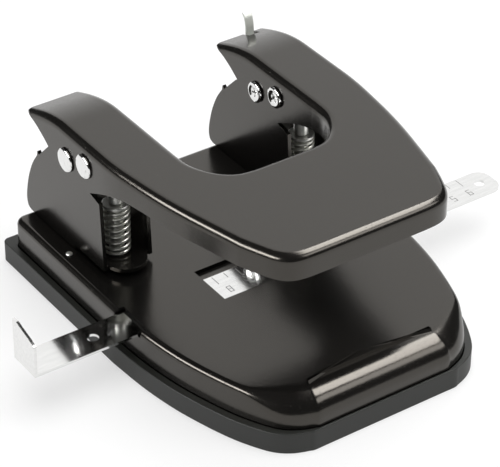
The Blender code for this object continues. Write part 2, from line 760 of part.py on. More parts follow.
clear_scene()
PARTS = new_collection("two_hole_punch")
TOOLS = new_collection("cutting_tools")
PAINT = material("black_enamel", (0.035, 0.033, 0.031), 0.42, 0.0)
PLASTIC = material("black_plastic", (0.022, 0.021, 0.021), 0.55, 0.0)
CHROME = material("chrome", (0.78, 0.78, 0.77), 0.16, 1.0)
STEEL = material("bright_steel", (0.56, 0.55, 0.52), 0.3, 1.0)
SPRING_STEEL = material("spring_steel", (0.5, 0.5, 0.46), 0.28, 1.0)

chip_tray()
base_plate()
HANDLE = handle()
paper_guide()
guide_rail()
lock_slide(HANDLE)
locating_rivet()
for SIDE, LABEL in ((-1, "left"), (1, "right")):
    die(SIDE, f"die_{LABEL}")
    tower(SIDE, f"tower_{LABEL}")
    for NUMBER, RIVET_PLACE in enumerate(RIVET_Y, 1):
        rivet(SIDE, RIVET_PLACE, f"tower_rivet_{LABEL}_{NUMBER}")
    punch(SIDE, f"punch_{LABEL}")
    retainer(SIDE, f"spring_clip_{LABEL}")
    spring(SIDE, f"spring_{LABEL}")
    post(SIDE, PIVOT, f"pivot_post_{LABEL}", HANDLE)
    post_screw(SIDE, PIVOT, f"pivot_screw_{LABEL}", HANDLE)
    post(SIDE, LIFT, f"lift_post_{LABEL}", HANDLE)
    post_screw(SIDE, LIFT, f"lift_screw_{LABEL}", HANDLE)
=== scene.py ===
# %% [markdown]
# # A two-hole paper punch
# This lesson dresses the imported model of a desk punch.  The real tool is a folded steel lever on
# two sprung punch towers, riveted to a folded steel base that sits in a plastic chip tray.
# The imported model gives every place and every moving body, so nothing here is measured twice.

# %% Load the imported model
from math import atan2, cos, pi, radians, sin

import bmesh
import bpy
from mathutils import Matrix, Vector


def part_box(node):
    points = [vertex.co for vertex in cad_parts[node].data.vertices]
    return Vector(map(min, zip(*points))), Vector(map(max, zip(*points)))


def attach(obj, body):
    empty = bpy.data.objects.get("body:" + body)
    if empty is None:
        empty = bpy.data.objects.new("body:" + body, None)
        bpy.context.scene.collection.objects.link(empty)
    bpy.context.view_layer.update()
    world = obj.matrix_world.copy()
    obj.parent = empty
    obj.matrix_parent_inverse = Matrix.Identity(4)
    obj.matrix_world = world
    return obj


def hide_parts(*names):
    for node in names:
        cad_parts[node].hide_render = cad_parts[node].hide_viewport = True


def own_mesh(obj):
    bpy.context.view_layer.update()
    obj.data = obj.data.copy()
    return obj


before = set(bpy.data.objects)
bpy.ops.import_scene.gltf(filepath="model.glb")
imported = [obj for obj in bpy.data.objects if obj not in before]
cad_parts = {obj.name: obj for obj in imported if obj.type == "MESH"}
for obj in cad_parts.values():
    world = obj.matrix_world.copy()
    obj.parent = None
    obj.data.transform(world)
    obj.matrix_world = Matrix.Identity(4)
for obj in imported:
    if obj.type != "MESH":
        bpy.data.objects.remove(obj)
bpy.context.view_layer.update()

MM = 0.001

# %% [markdown]
# ## Sizes that several pieces share
# A maker's drawing names its sizes once.  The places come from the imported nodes' boxes, and the
# few sizes that a box can't tell, such as a fold's radius, are named here in millimetres.

# %% Places and shared sizes


def node_box(name):
    """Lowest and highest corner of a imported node, in millimetres."""
    low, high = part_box(name)
    return low / MM, high / MM


SHEET = 1.2                                     # pressed steel of the base plate and the handle
TOWER_SHEET = 1.5
PUNCH_R = 2.75
GAP = 0.3                                       # between pieces that stand on or face each other
RUN = 0.08                                      # radial room of a shaft in its hole
RIVET_PLAY = 0.15                               # radial room of a rivet in its hole
die_low, die_high = node_box("die_right")
PUNCH_X = (die_low.x + die_high.x) / 2
PUNCH_Y = (die_low.y + die_high.y) / 2
plate_low, plate_high = node_box("base_plate")
PLATE_TOP = plate_high.z
tray_low, tray_high = node_box("chip_tray")
handle_low, handle_high = node_box("handle")
PIVOT = (41.8, 59.4)                            # Y and Z of the hinge axis
LIFT = (29.6, 63.3)                             # Y and Z of the posts that drive the punches
SIDES = ((-1, "left"), (1, "right"))
print("punches at x", round(PUNCH_X, 2), "y", round(PUNCH_Y, 2), "plate top", round(PLATE_TOP, 2))

# %% [markdown]
# ## Outlines
# Pressed parts start as flat outlines.  Two helpers draw them: a circular arc, and a smooth
# curve through a few points.  A third one moves an outline inwards by a fixed distance, which is
# how a folded edge or a wall is found from the part's plan.

# %% Outline helpers


def arc(centre, radius, start, end, steps):
    """Points on a circular arc, angles in degrees, both ends included."""
    angles = [radians(start + (end - start) * i / steps) for i in range(steps + 1)]
    return [(centre[0] + radius * cos(a), centre[1] + radius * sin(a)) for a in angles]


def smooth_curve(points, steps):
    """A Catmull-Rom curve through the points, with this many steps between each two."""
    result = []
    last = len(points) - 1
    for i in range(last):
        before, start = Vector(points[max(i - 1, 0)]), Vector(points[i])
        end, after = Vector(points[i + 1]), Vector(points[min(i + 2, last)])
        for step in range(steps):
            t = step / steps
            place = 0.5 * (2 * start + (end - before) * t
                           + (2 * before - 5 * start + 4 * end - after) * t ** 2
                           + (3 * start - before - 3 * end + after) * t ** 3)
            result.append(tuple(place))
    result.append(tuple(points[-1]))
    return result


def both_sides(right_half):
    """A closed outline from its +X half, listed from the front to the rear."""
    return right_half + [(-x, y) for x, y in reversed(right_half)]


def inset(outline, distance):
    """An anticlockwise outline moved inwards."""
    moved = []
    for i, here in enumerate(outline):
        before, after = Vector(outline[i - 1]), Vector(outline[(i + 1) % len(outline)])
        first, second = (Vector(here) - before).normalized(), (after - Vector(here)).normalized()
        normal = Vector((-first.y - second.y, first.x + second.x)).normalized()
        stretch = 1.0 / max(normal.dot(Vector((-first.y, first.x))), 0.5)
        moved.append(tuple(Vector(here) + normal * distance * stretch))
    return moved


print("an arc of five points:", [(round(x, 1), round(y, 1)) for x, y in arc((0, 0), 1, 0, 90, 4)])

# %% [markdown]
# ## From outline to solid
# Four small builders are enough for every pressed and turned part: a raised outline, an outline
# carried sideways, a box, and a profile turned round an axis.  `Piece` then gathers the live
# modifiers (cuts, sheet thickness, rounded edges) and turns the result into one plain mesh, so
# that the finished piece sits at the origin with its place in its vertices.

# %% Solid builders


def raised(bm, face, shift):
    extruded = bmesh.ops.extrude_face_region(bm, geom=[face])
    corners = [item for item in extruded["geom"] if isinstance(item, bmesh.types.BMVert)]
    bmesh.ops.translate(bm, verts=corners, vec=shift)
    return bm


def prism(outline, bottom, top):
    """A flat outline in XY, raised from bottom to top."""
    bm = bmesh.new()
    face = bm.faces.new([bm.verts.new((x, y, bottom)) for x, y in outline])
    return raised(bm, face, (0.0, 0.0, top - bottom))


def side_prism(profile, x_start, x_end):
    """An outline in YZ, carried along X."""
    bm = bmesh.new()
    face = bm.faces.new([bm.verts.new((x_start, y, z)) for y, z in profile])
    return raised(bm, face, (x_end - x_start, 0.0, 0.0))


def box(x, y, z):
    """A box from three (low, high) pairs."""
    return prism([(x[0], y[0]), (x[1], y[0]), (x[1], y[1]), (x[0], y[1])], *z)


def turned(profile, centre=(0.0, 0.0, 0.0), axis="Z", sides=64):
    """A profile of (radius, height) pairs turned round an axis; ends on the axis are closed."""
    bm = bmesh.new()
    rings = []
    for radius, height in profile:
        if radius < 1e-6:
            rings.append([bm.verts.new((0.0, 0.0, height))])
            continue
        angles = [2 * pi * i / sides for i in range(sides)]
        rings.append([bm.verts.new((radius * cos(a), radius * sin(a), height)) for a in angles])
    closed = len(rings[0]) > 1 and len(rings[-1]) > 1
    pairs = list(zip(rings, rings[1:])) + ([(rings[-1], rings[0])] if closed else [])
    for lower, upper in pairs:
        for i in range(sides):
            j = (i + 1) % sides
            corners = [lower[i % len(lower)], lower[j % len(lower)],
                       upper[j % len(upper)], upper[i % len(upper)]]
            bm.faces.new(list(dict.fromkeys(corners)))
    if axis == "X":
        bmesh.ops.rotate(bm, verts=bm.verts, matrix=Matrix.Rotation(pi / 2, 3, "Y"))
    bmesh.ops.translate(bm, verts=bm.verts, vec=centre)
    return bm


def rod(radius, length, centre, axis="Z", sides=48):
    """A plain round cutter."""
    half = length / 2
    return turned([(0, -half), (radius, -half), (radius, half), (0, half)], centre, axis, sides)


class Piece:
    def __init__(self, name, bm):
        self.name = name
        self.tools = []
        self.object = self.link(name, bm)

    def link(self, name, bm):
        bmesh.ops.recalc_face_normals(bm, faces=bm.faces)
        bmesh.ops.scale(bm, vec=(MM, MM, MM), verts=bm.verts)
        mesh = bpy.data.meshes.new(name)
        bm.to_mesh(mesh)
        bm.free()
        made = bpy.data.objects.new(name, mesh)
        bpy.context.scene.collection.objects.link(made)
        return made

    def boolean(self, bm, operation="DIFFERENCE"):
        tool = self.link(f"{self.name}_tool_{len(self.tools)}", bm)
        self.tools.append(tool)
        step = self.object.modifiers.new("boolean", "BOOLEAN")
        step.operation, step.object, step.solver = operation, tool, "EXACT"
        return self

    def sheet(self, thickness):
        step = self.object.modifiers.new("sheet", "SOLIDIFY")
        step.thickness, step.offset, step.use_even_offset = thickness * MM, -1.0, True
        return self

    def round_edges(self, radius, segments=3, limit=32.0):
        step = self.object.modifiers.new("rounded edges", "BEVEL")
        step.width, step.segments = radius * MM, segments
        step.limit_method, step.angle_limit = "ANGLE", radians(limit)
        step.harden_normals = False
        step.miter_outer = "MITER_ARC"
        return self

    def finish(self, material, body, replaced, slot, sharp=40.0):
        """Bakes the modifiers, shades by angle, and hangs the piece on its body."""
        depsgraph = bpy.context.evaluated_depsgraph_get()
        mesh = bpy.data.meshes.new_from_object(self.object.evaluated_get(depsgraph))
        for used in [self.object, *self.tools]:
            bpy.data.objects.remove(used, do_unlink=True)
        return place(self.name, mesh, material, body, replaced, slot, sharp)


def place(name, mesh, material, body, replaced, slot, sharp=40.0):
    """A finished mesh as a shown piece, smooth where it bends by less than the sharp angle."""
    bm = bmesh.new()
    bm.from_mesh(mesh)
    bmesh.ops.remove_doubles(bm, verts=bm.verts, dist=0.002 * MM)
    bmesh.ops.dissolve_degenerate(bm, edges=bm.edges, dist=0.001 * MM)
    bmesh.ops.recalc_face_normals(bm, faces=bm.faces)
    bm.to_mesh(mesh)
    bm.free()
    mesh.materials.clear()
    mesh.materials.append(material)
    for polygon in mesh.polygons:
        polygon.material_index = 0
    mesh.shade_smooth()
    mesh.set_sharp_from_angle(angle=radians(sharp))
    made = bpy.data.objects.new(name, mesh)
    bpy.context.scene.collection.objects.link(made)
    weighted = made.modifiers.new("even shading", "WEIGHTED_NORMAL")
    weighted.keep_sharp = True
    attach(made, body)
    if replaced:
        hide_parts(*replaced)
    print(f"{name}: {len(mesh.polygons)} faces on {body}")
    return made


# %% [markdown]
# ## Materials as arithmetic
# A node tree is a formula, so it reads best as one.  `Value` wraps a socket and lets Python's own
# signs add the Math nodes; `Tree` adds any other node from its type, settings and inputs.

# %% Node arithmetic


class Value:
    """A node's output that can stand in a Python sum."""

    def __init__(self, tree, socket):
        self.tree, self.socket = tree, socket

    def math(self, operation, *others):
        inputs = {0: self, **dict(enumerate(others, 1))}
        return self.tree.add("ShaderNodeMath", {"operation": operation}, inputs)

    def __add__(self, other): return self.math("ADD", other)
    def __sub__(self, other): return self.math("SUBTRACT", other)
    def __mul__(self, other): return self.math("MULTIPLY", other)
    def __truediv__(self, other): return self.math("DIVIDE", other)
    def __radd__(self, other): return self + other
    def __rmul__(self, other): return self * other
    def __rsub__(self, other): return self * -1.0 + other
    def clip(self): return self.math("MINIMUM", 1.0).math("MAXIMUM", 0.0)

    def step(self, low, high):
        """0 below low, 1 above high, smooth between."""
        return self.tree.add("ShaderNodeMapRange", {"interpolation_type": "SMOOTHSTEP"},
                             {"Value": self, "From Min": low, "From Max": high}, "Result")


class Tree:
    """Adds nodes to a shader or geometry tree."""

    def __init__(self, group):
        self.nodes, self.links = group.nodes, group.links

    def add(self, kind, settings=None, inputs=None, output=0):
        node = self.nodes.new(kind)
        for key, value in (settings or {}).items():
            setattr(node, key, value)
        self.feed(node, inputs or {})
        return Value(self, node.outputs[output])

    def feed(self, node, inputs):
        for key, value in inputs.items():
            if isinstance(value, Value):
                self.links.new(value.socket, node.inputs[key])
            else:
                node.inputs[key].default_value = value

    def noise(self, place, scale, detail=3.0, roughness=0.5, stretch=None):
        """Noise by place, with about this many grains per metre."""
        if stretch:
            place = self.add("ShaderNodeVectorMath", {"operation": "MULTIPLY"}, {0: place, 1: stretch})
        return self.add("ShaderNodeTexNoise", None,
                        {"Vector": place, "Scale": scale, "Detail": detail, "Roughness": roughness}, "Fac")

    def mix(self, amount, first, second):
        """A colour between two, by an amount from 0 to 1."""
        node = self.nodes.new("ShaderNodeMix")
        node.data_type = "RGBA"
        for index, value in ((0, amount), (6, first), (7, second)):
            if isinstance(value, Value):
                self.links.new(value.socket, node.inputs[index])
            else:
                node.inputs[index].default_value = value if index == 0 else (*value, 1.0)
        return Value(self, node.outputs[2])


def new_material(name, **constants):
    """A Principled material with its fixed values set on the shader's own sockets."""
    made = bpy.data.materials.new(name)
    made.use_nodes = True
    tree = Tree(made.node_tree)
    shader = made.node_tree.nodes["Principled BSDF"]
    for key, value in constants.items():
        shader.inputs[key.replace("_", " ").title().replace("Ior", "IOR")].default_value = value
    place = tree.add("ShaderNodeTexCoord", output="Object")
    return made, tree, shader, place


def surface(tree, shader, colour, roughness, height, distance, strength=1.0):
    """Joins the three varying values of a surface to its shader."""
    bump = tree.add("ShaderNodeBump", None, {"Height": height, "Distance": distance, "Strength": strength})
    tree.feed(shader, {"Base Color": colour, "Roughness": roughness, "Normal": bump})


# %% [markdown]
# ## Black enamel
# The pressed steel is stove enamelled: near black, satin, with a faint orange-peel ripple, a few
# dust grains under the paint and the dull patches that fingers leave.  Roughness carries most of
# the look, because a black paint shows little else than what it reflects.

# %% Black enamel


def black_enamel():
    made, tree, shader, place = new_material("stove_enamel", metallic=0.0, ior=1.6,
                                               specular_tint=(1.0, 0.93, 0.83, 1.0))
    patches = tree.noise(place, 24.0, 4.0, 0.6)
    ripple = tree.noise(place, 620.0, 2.0)
    grains = tree.noise(place, 1500.0, 1.0).step(0.72, 0.78)
    scuffs = tree.noise(place, 90.0, 5.0, 0.7, (1.0, 6.0, 3.0)).step(0.62, 0.8)
    colour = tree.mix(patches, (0.0060, 0.0056, 0.0052), (0.0095, 0.0090, 0.0083))
    colour = tree.mix(grains * 0.5, colour, (0.05, 0.048, 0.045))
    rough = 0.16 + patches * 0.06 + scuffs * 0.08
    height = ripple * 0.6 + grains * 0.8 + tree.noise(place, 140.0, 2.0) * 0.5
    surface(tree, shader, colour, rough, height, 0.00005, 0.5)
    return made


ENAMEL = black_enamel()
print("made", ENAMEL.name)

# %% [markdown]
# ## Black plastic
# The chip tray is injection moulded with a fine spark-eroded grain, so it is duller than the
# enamel and a shade lighter and greener.

# %% Black plastic


def black_plastic():
    made, tree, shader, place = new_material("moulded_plastic", metallic=0.0, ior=1.49)
    patches = tree.noise(place, 18.0, 3.0)
    grain = tree.noise(place, 2600.0, 2.0, 0.6)
    rubbed = tree.noise(place, 60.0, 5.0, 0.7, (1.0, 1.0, 8.0)).step(0.6, 0.8)
    colour = tree.mix(patches, (0.011, 0.012, 0.010), (0.016, 0.017, 0.014))
    rough = 0.42 + patches * 0.08 + grain * 0.1 - rubbed * 0.06
    surface(tree, shader, colour, rough, grain, 0.00004, 0.6)
    return made


PLASTIC = black_plastic()
print("made", PLASTIC.name)

# %% [markdown]
# ## Bright metals
# Chrome, drawn spring wire, ground punches and rolled strip are one metal with different polish.
# One function takes the tint, the polish and the direction of the tool marks.

# %% Bright metals


def bright_metal(name, tint, polish, marks, spread=0.06, depth=0.00002, metallic=1.0):
    """marks stretches the noise: a small number along the direction of the tool marks."""
    made, tree, shader, place = new_material(name, metallic=metallic)
    lines = tree.noise(place, 900.0, 3.0, 0.6, marks)
    haze = tree.noise(place, 70.0, 4.0, 0.6)
    spots = tree.noise(place, 420.0, 2.0).step(0.70, 0.80)
    darker = tuple(channel * 0.82 for channel in tint)
    colour = tree.mix(lines, darker, tint)
    colour = tree.mix(spots * 0.4, colour, tuple(channel * 0.45 for channel in tint))
    rough = polish + haze * spread + spots * 0.15 + lines * spread
    surface(tree, shader, colour, rough, lines + haze * 0.3, depth, 0.4)
    return made


CHROME = bright_metal("plated_chrome", (0.84, 0.84, 0.83), 0.05, (0.15, 1.0, 1.0), 0.03)
STEEL = bright_metal("ground_steel", (0.82, 0.82, 0.78), 0.30, (1.0, 1.0, 0.2), metallic=0.8)
WIRE = bright_metal("spring_wire", (0.84, 0.84, 0.77), 0.24, (1.0, 1.0, 1.0), metallic=0.85)
NICKEL = bright_metal("nickel_plate", (0.80, 0.82, 0.76), 0.30, (1.0, 0.3, 1.0), metallic=0.35)
print("made", [metal.name for metal in (CHROME, STEEL, WIRE, NICKEL)])

# %% [markdown]
# ## Handle
# The lever is one pressing: a flat U-shaped top, folded down all round, with arms that droop
# towards their rear tips.  The top face is drawn first, its boundary is pulled down into walls,
# the fold is bevelled while it is still one clean edge, and only then is the sheet given its
# thickness and the walls trimmed to their curved lower edge.

# %% Handle sizes
HANDLE_TOP = 72.0
HANDLE_FOLD = 3.2
HANDLE_OUT = handle_high.x
HANDLE_IN = 28.3
HANDLE_REAR = 69.3
HANDLE_FRONT = handle_low.y
GRIP_INSIDE = -13.8
ARM_FRONT = 8.0
ARM_STEPS = 30
ARM_EASE, ARM_EASE_Y = 0.6, 20.0                # how far and from where an arm's outside draws in
DRAWN_DEPTH = 48.0                              # the walls are drawn this low, then trimmed
BARREL_R = 2.0
NOTCH_X = (41.3, 45.9)
print("handle spans", round(HANDLE_FRONT, 2), "to", round(handle_high.y, 2))

# %% Handle


def arm_stations():
    return [ARM_FRONT + (HANDLE_REAR - ARM_FRONT) * i / ARM_STEPS for i in range(ARM_STEPS + 1)]


def arm_outside(y):
    """The arm's outer face, which draws in gently towards the grip."""
    return HANDLE_OUT - ARM_EASE * (max(0.0, ARM_EASE_Y - y) / (ARM_EASE_Y - ARM_FRONT)) ** 2


def handle_outline():
    """The U-shaped plan: outside of the +X arm from the front, then back along its inside."""
    front = [(18.0, HANDLE_FRONT), (26.6, -65.2), (31.8, -63.7), (35.4, -60.0), (38.2, -54.2),
             (41.0, -47.0)]
    flank = [(41.0, -47.0), (44.7, -32.1), (46.6, -24.2), (48.3, -15.9), (49.7, -7.4), (50.8, 1.2),
             (arm_outside(ARM_FRONT), ARM_FRONT)]
    bight = [(HANDLE_IN, ARM_FRONT), (27.8, 0.8), (25.6, -4.8), (22.2, -9.6), (17.6, -12.8),
             (12.0, GRIP_INSIDE)]
    outer = smooth_curve(front, 6) + smooth_curve(flank, 8)[1:-1]
    outer += [(arm_outside(y), y) for y in arm_stations()]
    inner = [(HANDLE_IN, y) for y in reversed(arm_stations())] + smooth_curve(bight, 8)[1:]
    return both_sides(outer + inner)


def droop(y):
    """How far the arms' top falls towards the rear tips."""
    t = min(max((y - 44.0) / (HANDLE_REAR - 44.0), 0.0), 1.0)
    return 6.2 * t * t * (1.35 - 0.35 * t)


def handle_skin():
    bm = bmesh.new()
    bm.faces.new([bm.verts.new((x, y, HANDLE_TOP)) for x, y in handle_outline()])
    for y in arm_stations()[:-1]:
        everything = list(bm.verts) + list(bm.edges) + list(bm.faces)
        bmesh.ops.bisect_plane(bm, geom=everything, plane_co=(0, y, 0), plane_no=(0, 1, 0), dist=0.01)
    rear = HANDLE_REAR - 0.01
    rim = [edge for edge in bm.edges
           if edge.is_boundary and not all(vert.co.y > rear for vert in edge.verts)]
    lower = [item for item in bmesh.ops.extrude_edge_only(bm, edges=rim)["geom"]
             if isinstance(item, bmesh.types.BMVert)]
    bmesh.ops.translate(bm, verts=lower, vec=(0, 0, DRAWN_DEPTH - HANDLE_TOP))
    folds = [edge for edge in bm.edges
             if len(edge.link_faces) == 2 and edge.calc_face_angle() > radians(60)
             and all(vert.co.z > HANDLE_TOP - 0.01 for vert in edge.verts)]
    bmesh.ops.bevel(bm, geom=folds, offset=HANDLE_FOLD, offset_type="OFFSET", segments=8,
                    profile=0.5, affect="EDGES")
    for vert in bm.verts:
        if vert.co.z > DRAWN_DEPTH + 1:
            vert.co.z -= droop(vert.co.y)
    return bm


def below_walls():
    """Everything under the walls' lower edge: level at the grip, low round the posts."""
    edge = smooth_curve([(69.6, 65.2), (64.5, 64.2), (59.7, 62.0), (54.1, 58.4), (50.2, 55.0), (45.8, 52.1),
                         (41.2, 50.6), (36.4, 50.5), (30.8, 51.9), (23.8, 55.3), (17.3, 58.3), (10.8, 60.5),
                         (4.0, 61.8), (-4.0, 62.4)], 8)
    return side_prism(edge + [(-80.0, 62.4), (-80.0, 40.0), (85.0, 40.0), (85.0, 66.4)], -70.0, 70.0)


handle = Piece("lever_handle", handle_skin()).sheet(SHEET).boolean(below_walls())
for side, label in SIDES:
    for spot in (PIVOT, LIFT):
        handle.boolean(rod(BARREL_R + RUN, 30.0, (side * PUNCH_X, *spot), "X"))
handle.boolean(box(NOTCH_X, (HANDLE_REAR - 4.4, HANDLE_REAR + 4), (58.0, 76.0)))
handle.round_edges(0.22, 2)
handle.finish(ENAMEL, "handle", ["handle"], "black_enamel")

# %% [markdown]
# ## Base plate
# The base is a shallow pressed pan.  Its edge is a quarter round that is tight along the sides
# and opens into a broad apron at the front, so the skin is lofted ring by ring from the top
# outline, with a fold radius that depends on how far forward the point lies.

# %% Base plate


def base_outline(half, rear, front, rear_radius):
    """Straight sides that draw in towards a round-cornered front."""
    shape = [(30.8, 0.0), (24.3, 2.3), (19.2, 6.0), (15.2, 11.8), (10.8, 21.0), (6.8, 33.0), (3.5, 46.0),
             (1.2, 61.0), (0.0, 78.0)]
    front_part = smooth_curve([(half - back, front + rise) for back, rise in shape], 3)
    corner = arc((half - rear_radius, rear - rear_radius), rear_radius, 0, 90, 5)
    return both_sides(front_part + corner)


def refined(ring, steps=4, longest=4.0, like=None):
    """A closed ring with its long straights divided, then rounded by a curve through its points.

    like is the ring whose lengths say how many parts each straight gets, so that rings match.
    """
    points = []
    guide = like or ring
    for i, here in enumerate(ring):
        after = Vector(ring[(i + 1) % len(ring)])
        span = (Vector(guide[(i + 1) % len(ring)]) - Vector(guide[i])).length
        parts = max(1, round(span / longest))
        points += [Vector(here).lerp(after, part / parts) for part in range(parts)]
    looped = [points[-1]] + points + points[:2]
    return [tuple(point) for point in smooth_curve(looped, steps)[steps:-steps - 1]]


FOLD_SIDE, FOLD_FRONT = 2.4, 9.0                # radius of the folded edge along the sides and the front
FOLD_OPENS, FOLD_SPREAD = 56.0, 16.0            # how far forward the change starts, and its length


def fold_radius(point):
    along = min(max((-point[1] - FOLD_OPENS) / FOLD_SPREAD, 0.0), 1.0)
    return FOLD_SIDE + (FOLD_FRONT - FOLD_SIDE) * along * along * (3 - 2 * along)


PLATE_OUTLINE = base_outline(plate_high.x, plate_high.y, plate_low.y, 4.0)


def plate_ring(angle, further=0.0):
    """The skin's ring where the fold has turned by this angle, from flat to upright."""
    ring = []
    for here, inner in zip(PLATE_OUTLINE, inset(PLATE_OUTLINE, 1.0)):
        radius = fold_radius(here)
        back = radius * (1 - sin(angle)) + further
        x, y = here[0] + (inner[0] - here[0]) * back, here[1] + (inner[1] - here[1]) * back
        ring.append((x, y, PLATE_TOP - radius * (1 - cos(angle))))
    return ring


FLAT_MARGIN = 1.2                               # a level border that keeps the sheet's underside flat


def plate_skin():
    bm = bmesh.new()
    steps = 12
    shapes = [refined(plate_ring(0.0, FLAT_MARGIN), like=PLATE_OUTLINE)]
    shapes += [refined(plate_ring(pi / 2 * step / steps), like=PLATE_OUTLINE) for step in range(steps + 1)]
    shapes.append([(x, y, plate_low.z) for x, y, z in shapes[-1]])
    rings = [[bm.verts.new(point) for point in shape] for shape in shapes]
    for upper, lower in zip(rings, rings[1:]):
        for i in range(len(upper)):
            j = (i + 1) % len(upper)
            bm.faces.new((upper[i], lower[i], lower[j], upper[j]))
    bm.faces.new(rings[0])
    return bm


DIE_R = 5.0
RIVET_R = 2.0
RIVET_Y = (48.0, 63.0)
PEG = (-53.2, 40.8)                             # X and Y of the locating rivet
PEG_R, PEG_HEAD_R = 0.8, 1.3
guide_low, guide_high = node_box("paper_guide")
GUIDE_FRONT, GUIDE_REAR = guide_low.y, guide_high.y
GUIDE_THICK = 1.0
GUIDE_TOP = guide_low.z + GUIDE_THICK
WINDOW_X, WINDOW_Y = (-22.3, 22.3), (-12.4, 6.9)

plate = Piece("folded_base", plate_skin()).sheet(SHEET)
plate.boolean(box(WINDOW_X, WINDOW_Y, (PLATE_TOP - 3, PLATE_TOP + 3)))
for side, label in SIDES:
    inner, outer = side * (plate_high.x - 4.0), side * (plate_high.x + 5)
    plate.boolean(box(sorted((inner, outer)), (GUIDE_FRONT - 0.8, GUIDE_REAR + 0.8),
                      (GUIDE_TOP - GUIDE_THICK - 0.4, PLATE_TOP + 3)))
    plate.boolean(rod(DIE_R + GAP, 12.0, (side * PUNCH_X, PUNCH_Y, PLATE_TOP)))
    for y in RIVET_Y:
        plate.boolean(rod(RIVET_R + RIVET_PLAY, 12.0, (side * PUNCH_X, y, PLATE_TOP)))
plate.boolean(rod(PEG_R + RIVET_PLAY, 12.0, (*PEG, PLATE_TOP)))
plate.round_edges(0.2, 2)
plate.finish(ENAMEL, "base", ["base_plate"], "black_enamel")

# %% [markdown]
# ## Chip tray
# The tray is a moulded tub with a stepped wall: the base plate stands on the step, and the chips
# fall into the floor below it.

# %% Chip tray
TRAY_OUTLINE = refined(base_outline(tray_high.x, tray_high.y, tray_low.y, 2.5))
LEDGE, TRAY_FLOOR = 3.7, 2.0
tray = Piece("moulded_tray", prism(TRAY_OUTLINE, tray_low.z, tray_high.z)).round_edges(0.9, 4, 60.0)
tray.boolean(prism(refined(inset(PLATE_OUTLINE, -0.3)), LEDGE, tray_high.z + 2))
tray.boolean(prism(inset(PLATE_OUTLINE, 2.6), TRAY_FLOOR, LEDGE + 1))
tray.round_edges(0.15, 2)
tray.finish(PLASTIC, "tray", ["chip_tray"], "black_plastic")

# %% [markdown]
# ## Punch towers
# Each tower is a U of thicker sheet: two cheeks joined by a web.  The web steps up in front of
# the paper stop and ends in a round nose, which leaves the slot that the sheets go into.

# %% Punch towers
TOWER_HALF = 10.1
TOWER_FRONT, TOWER_REAR = 22.2, 75.2
WEB_UNDER = 22.2
STOP_Y = PUNCH_Y + 12.0


def cheek_profile():
    """Side view of a tower's cheek in Y and Z."""
    foot = [(TOWER_FRONT, WEB_UNDER), (STOP_Y, WEB_UNDER), (STOP_Y, PLATE_TOP + GAP)]
    heel = smooth_curve([(72.2, PLATE_TOP + GAP), (74.4, 21.3), (TOWER_REAR, 24.4), (74.6, 29.2),
                         (72.8, 35.6), (69.9, 42.0), (66.3, 47.3)], 8)
    notch = [(66.0, 49.2), (64.9, 48.2)]
    lug = arc(PIVOT, 6.6, 40, 165, 24)
    return foot + heel + notch + [(57.5, 55.9)] + lug + [(35.6, 53.2), (29.4, 50.9), (24.1, 49.6)]


def web_profile():
    low = PLATE_TOP + GAP
    front, rear = TOWER_FRONT + 0.4, TOWER_REAR - 6.0
    return [(front, WEB_UNDER), (STOP_Y, WEB_UNDER), (STOP_Y, low), (rear, low), (rear, low + TOWER_SHEET),
            (STOP_Y + TOWER_SHEET, low + TOWER_SHEET), (STOP_Y + TOWER_SHEET, WEB_UNDER + TOWER_SHEET),
            (front, WEB_UNDER + TOWER_SHEET)]


for side, label in SIDES:
    centre = side * PUNCH_X
    left, right = centre - TOWER_HALF, centre + TOWER_HALF
    tower = Piece(f"tower_bracket_{label}", side_prism(cheek_profile(), left, left + TOWER_SHEET))
    tower.boolean(side_prism(cheek_profile(), right - TOWER_SHEET, right), "UNION")
    tower.boolean(side_prism(web_profile(), left + 0.4, right - 0.4), "UNION")
    nose_top, nose_r = WEB_UNDER + TOWER_SHEET, TOWER_HALF - 2.4
    nose = turned([(0, WEB_UNDER), (nose_r, WEB_UNDER), (nose_r, nose_top), (0, nose_top)],
                  (centre, TOWER_FRONT + 1.6, 0.0))
    tower.boolean(nose, "UNION")
    tower.boolean(rod(PUNCH_R + RUN, 20.0, (centre, PUNCH_Y, WEB_UNDER)))
    tower.boolean(rod(BARREL_R + RUN, 2 * TOWER_HALF + 6, (centre, *PIVOT), "X"))
    for y in RIVET_Y:
        tower.boolean(rod(RIVET_R + RIVET_PLAY, 12.0, (centre, y, PLATE_TOP)))
    tower.round_edges(0.25, 3, 30.0)
    tower.finish(ENAMEL, "base", [f"tower_{label}"], "black_enamel")

# %% [markdown]
# ## Dies and punches
# A punch and its die are turned parts, so each is one profile spun round the punch's axis.  The
# punch's flat head is milled from a block and slotted for the post that pushes it down and lifts
# it again.

# %% Dies and punches
DIE_HEIGHT, COLLAR = 3.0, 1.6
HEAD_LOW, HEAD_TOP = 57.0, 67.2
RETAINER_Z, CLIP_THICK, CLIP_GROOVE_R = 43.0, 1.0, 2.1


def die_profile():
    """Inside wall up, a small lead-in, the flat face, then down the outside and over the collar."""
    bore = PUNCH_R + RUN
    collar_top = PLATE_TOP - SHEET - 0.3
    foot = min(PLATE_TOP - DIE_HEIGHT, collar_top - COLLAR)
    return [(bore, foot), (bore, PLATE_TOP - 0.25), (bore + 0.2, PLATE_TOP), (DIE_R - 0.3, PLATE_TOP),
            (DIE_R, PLATE_TOP - 0.3), (DIE_R, collar_top), (DIE_R + COLLAR - 0.2, collar_top),
            (DIE_R + COLLAR, collar_top - 0.2), (DIE_R + COLLAR, foot)]


